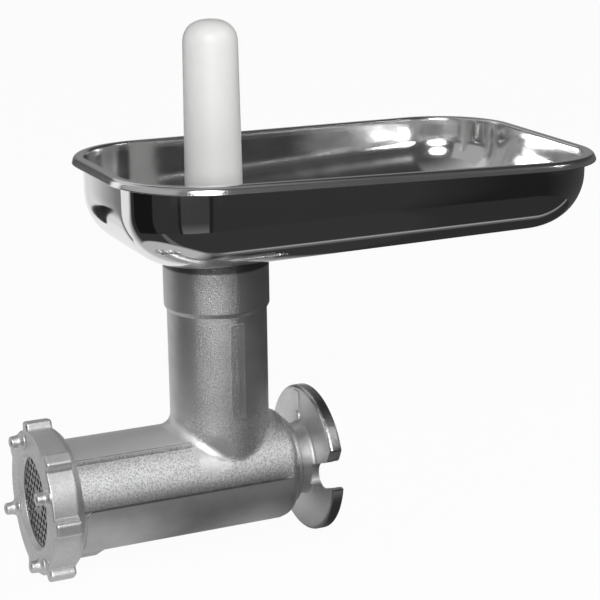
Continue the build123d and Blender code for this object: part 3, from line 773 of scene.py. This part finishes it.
def thread(name, sizes):
    """Helical ridge about the barrel's axis, run out to nothing at both ends."""
    root_r, crest_r, before_rear, behind_front = sizes
    x_start = RING_REAR_MM - before_rear
    x_end = PLATE_FRONT_MM + behind_front
    sunk = root_r + (root_r - crest_r) * THREAD_SUNK
    turns = (x_start - x_end) / THREAD_PITCH
    steps = int(turns * THREAD_STEPS)
    rows = []
    for step in range(steps + 1):
        share = step / steps
        turn = 2 * pi * turns * share
        x = x_start - (x_start - x_end) * share
        fade = min(1.0, share * turns * THREAD_RUNOUT, (1 - share) * turns * THREAD_RUNOUT)
        crest = root_r + (crest_r - root_r) * fade
        half = [(THREAD_HALF_FOOT, sunk), (THREAD_HALF_FOOT, root_r), (THREAD_HALF_CREST, crest)]
        section = half + [(-along, r) for along, r in half[::-1]]
        rows.append([Vector(((x + a) * MM, r * cos(turn) * MM, -r * sin(turn) * MM)) for a, r in section])
    return skin(name, rows, closed_rows=False)


def make_threads():
    """The barrel's thread and the ring nut's, which share a pitch."""
    place(thread("barrel_thread", BARREL_THREAD), "tinned_casting", "housing")
    place(thread("ring_thread", RING_THREAD), "ring_casting", "ring")


# ---- stage: floor, cards, world, lamps -------------------------------------------
# Metal needs surroundings to mirror. The floor shows reflections a pattern of greys, and cards that
# only reflections show stand round the object where a room would be.
FLOOR_R = 6.0
FLOOR_Y = 3.0
FLOOR_GLOW = 0.95
PAPER_GREY = 0.9
WORLD_LIGHT = 0.34
# Radii of the globes that the cards are parts of, and the close cards' heights in degrees.
FAR_R = 2.8
SIDE_R = 2.6
CLOSE_R = 0.55
CLOSE_HEIGHTS = (-7.6, 16)
CARD_COLUMNS = 48
CARD_RINGS = 12
# What the left end of the tray mirrors: a pale card close by, and a dark oval before it.
END_CARD_X = (-0.29, -0.195)
END_CARD_Y = 0.30
END_CARD_Z = (-0.03, 0.33)
SPOT_CENTRE = Vector((-0.1925, 0.239, 0.1225))
SPOT_ACROSS = Vector((0.0046, 0, 0.0071))
SPOT_UP = Vector((-0.034, 0, 0.022))
SPOT_STEPS = 24


class Stage(Tree):
    """Short hand for a stage material or world, built from bare shaders."""

    def __init__(self, holder):
        holder.use_nodes = True
        super().__init__(holder.node_tree)
        self.tree.nodes.clear()

    def glow(self, strength, kind="ShaderNodeEmission"):
        """White light."""
        node = self.add(kind)
        node.inputs["Color"].default_value = (1, 1, 1, 1)
        self.feed(strength, node.inputs["Strength"])
        return node.outputs[0]

    def blend(self, factor, first, second):
        node = self.add("ShaderNodeMixShader")
        for socket, source in zip(node.inputs, (factor, first, second)):
            self.feed(source, socket)
        return node.outputs[0]

    def finish(self, surface, kind="ShaderNodeOutputMaterial"):
        self.feed(surface, self.add(kind).inputs["Surface"])

    def highest(self, *greys):
        return self.chain("MAXIMUM", greys)

    def lowest(self, *greys):
        return self.chain("MINIMUM", greys)

    def grey_by(self, operation, vector, low, high, low_grey, high_grey):
        """Grey that goes from low_grey to high_grey as a measure of the place goes from low to high."""
        measure = self.add("ShaderNodeVectorMath", operation=operation)
        self.feed(self.add("ShaderNodeNewGeometry").outputs["Position"], measure.inputs[0])
        measure.inputs[1].default_value = vector
        node = self.add("ShaderNodeMapRange")
        for socket, source in zip(node.inputs, (measure.outputs["Value"], low, high, low_grey, high_grey)):
            self.feed(source, socket)
        return node.outputs[0]

    def sweep(self, direction, *levels):
        """Grey by how far a place lies along a direction."""
        return self.grey_by("DOT_PRODUCT", direction, *levels)

    def pool(self, centre, *levels):
        """Grey by distance from a point."""
        return self.grey_by("DISTANCE", centre, *levels)


def floor_greys(stage):
    """What reflections show of the floor."""
    behind = stage.lowest(
        stage.sweep((0.64, 0.77, 0), -0.10, 0.04, 0.03, 0.85),
        stage.sweep((-0.87, 0.5, 0), -0.02, 0.10, 0.03, 0.85),
    )
    # Beyond the close cards at the front left, where only the turned edge of the rim sees it.
    front = stage.lowest(
        stage.sweep(Y_AXIS, -0.80, -0.65, 0.9, 0.0), stage.sweep(X_AXIS, -0.3, 0.4, 0.9, 0.02)
    )
    # Inside the ring of close cards: pale on the left, a thin line and a grey end on the right.
    base = stage.sweep(X_AXIS, 0.12, 0.20, 0.038, 0.015)
    left = stage.lowest(
        stage.pool((-0.20, 0.06, FLOOR_Z), 0.175, 0.20, 0.5, 0.0),
        stage.sweep((-1, 0, 0), 0.08, 0.15, 0.0, 0.5),
    )
    near = stage.sweep(Y_AXIS, -0.128, -0.122, 0.03, 0.35)
    line = stage.lowest(
        near,
        stage.sweep(Y_AXIS, -0.108, -0.102, 0.35, 0.03),
        stage.sweep(X_AXIS, -0.10, -0.04, 0.03, 0.35),
    )
    end = stage.lowest(near, stage.sweep(Y_AXIS, -0.09, -0.07, 0.13, 0.01))
    ring = stage.pool((0, 0, FLOOR_Z), 0.545, 0.56, 1.0, 0.03)
    inner = stage.lowest(stage.highest(base, left, line, end), ring)
    return stage.highest(behind, inner, front)


def make_floor():
    """Pale paper. To the camera it all but glows, so that only a trace of shadow shows."""
    bpy.ops.mesh.primitive_circle_add(
        vertices=96, radius=FLOOR_R, fill_type="NGON", location=(0, FLOOR_Y, FLOOR_Z)
    )
    floor = bpy.context.object
    floor.name = "floor"
    material = bpy.data.materials.new("paper")
    stage = Stage(material)
    path = stage.add("ShaderNodeLightPath")
    paper = stage.add("ShaderNodeBsdfDiffuse")
    stage.feed(neutral(PAPER_GREY), paper.inputs["Color"])
    seen = stage.math("MULTIPLY", path.outputs["Is Camera Ray"], FLOOR_GLOW)
    mirrored = stage.highest(path.outputs["Is Glossy Ray"], path.outputs["Is Transmission Ray"])
    shown = stage.blend(seen, paper.outputs[0], stage.glow(1.0))
    stage.finish(stage.blend(mirrored, shown, stage.glow(floor_greys(stage))))
    floor.data.materials.append(material)


def hang_card(name, rows, grey):
    """A sheet that only reflections show; its grey is a number, or made from its stage."""
    card = skin(name, rows, closed_rows=False, closed_rings=False)
    material = bpy.data.materials.new(name)
    stage = Stage(material)
    stage.finish(stage.glow(grey(stage) if callable(grey) else grey))
    card.data.materials.append(material)
    card.visible_camera = False
    card.visible_diffuse = False
    card.visible_shadow = False


def globe_card(name, radius, azimuths, heights, grey):
    """Part of a globe round the object, between angles in degrees."""
    rows = []
    for step in range(CARD_COLUMNS + 1):
        azimuth = radians(azimuths[0] + (azimuths[1] - azimuths[0]) * step / CARD_COLUMNS)
        row = []
        for rise in range(CARD_RINGS + 1):
            height = radians(heights[0] + (heights[1] - heights[0]) * rise / CARD_RINGS)
            level = radius * cos(height)
            row.append((level * cos(azimuth), level * sin(azimuth), radius * sin(height)))
        rows.append(row)
    hang_card(name, rows, grey)


def make_cards():
    """All the cards, from the far ones to the close ones."""
    globe_card("front_card", FAR_R, (-220, 60), (-40, 28), lambda stage: stage.lowest(
        stage.sweep(Z_AXIS, -0.3, 0.1, 0.03, 0.11),
        stage.sweep(Z_AXIS, 0.4, 1.0, 0.11, 0.06),
    ))
    globe_card("ceiling_card", FAR_R, (-180, 180), (28, 89.5), lambda stage: stage.lowest(
        stage.sweep(Y_AXIS, -1.6, 1.4, 0.06, 0.6),
        stage.sweep(X_AXIS, 0.2, 0.8, 0.6, 0.045),
        stage.pool((-0.45, 1.0, 2.5), 0.55, 1.1, 0.10, 0.6),
    ))
    globe_card("left_card", SIDE_R, (145, 215), (14, 50), 0.4)
    globe_card(
        "back_card", SIDE_R, (40, 122), (-1.5, 28.5), lambda stage: stage.sweep(X_AXIS, -0.5, 0.3, 0.06, 0.24)
    )
    for name, azimuths, grey in (
        ("black_card", (158, 184), 0.009),
        ("dim_card", (184, 211), 0.034),
        ("dusk_card", (211, 214), 0.016),
        ("grey_card", (214, 242), lambda stage: stage.sweep(Z_AXIS, -0.02, 0.10, 0.13, 0.05)),
        ("edge_card", (242, 246), 0.018),
        ("shade_card", (246, 302), lambda stage: stage.sweep(X_AXIS, 0.12, 0.20, 0.034, 0.014)),
        ("right_card", (302, 410), lambda stage: stage.sweep(Y_AXIS, -0.46, 0.2, 0.014, 0.07)),
    ):
        globe_card(name, CLOSE_R, azimuths, CLOSE_HEIGHTS, grey)
    # Pale, shading to grey on the left, dark above.
    rows = [[(x, END_CARD_Y, z) for z in END_CARD_Z] for x in END_CARD_X]
    hang_card("end_card", rows, lambda stage: stage.lowest(
        stage.sweep(X_AXIS, -0.252, -0.230, 0.20, 0.75),
        stage.sweep(Z_AXIS, 0.185, 0.205, 0.80, 0.09),
    ))
    rows = []
    for step in range(SPOT_STEPS + 1):
        turn = 2 * pi * step / SPOT_STEPS
        rows.append([SPOT_CENTRE, SPOT_CENTRE + SPOT_ACROSS * cos(turn) + SPOT_UP * sin(turn)])
    hang_card("spot_card", rows, 0.02)


def make_world():
    """White to the camera and in reflections, dimmer as light on the object."""
    world = bpy.data.worlds.new("studio")
    bpy.context.scene.world = world
    stage = Stage(world)
    seen = stage.glow(1.0, "ShaderNodeBackground")
    lit = stage.glow(WORLD_LIGHT, "ShaderNodeBackground")
    path = stage.add("ShaderNodeLightPath")
    shown = stage.highest(*(path.outputs[f"Is {kind} Ray"] for kind in ("Camera", "Glossy", "Transmission")))
    stage.finish(stage.blend(shown, lit, seen), "ShaderNodeOutputWorld")


def make_lamps():
    """Soft oval lamps: where each is and aims, its width and height, and its power in watts."""
    for name, at, aim, width, height, power in (
        ("key", (-0.80, -1.75, 1.35), (-0.05, 0, 0.1), 0.95, 0.6, 18.5),
        ("front", (-0.90, -2.10, 0.60), (-0.05, 0, 0.1), 1.2, 0.45, 15),
        ("side", (1.55, -1.55, 1.75), (-0.15, 0, 0.0), 0.22, 0.22, 11),
    ):
        data = bpy.data.lights.new(name, "AREA")
        data.shape = "ELLIPSE"
        data.size = width
        data.size_y = height
        data.energy = power
        lamp = bpy.data.objects.new(name, data)
        bpy.context.scene.collection.objects.link(lamp)
        lamp.location = at
        lamp.rotation_mode = "QUATERNION"
        lamp.rotation_quaternion = (Vector(aim) - Vector(at)).to_track_quat("-Z", "Y")


make_tray()
make_pusher()
make_threads()
make_camera()
make_floor()
make_cards()
make_world()
make_lamps()
bpy.context.scene.view_settings.view_transform = "Standard"
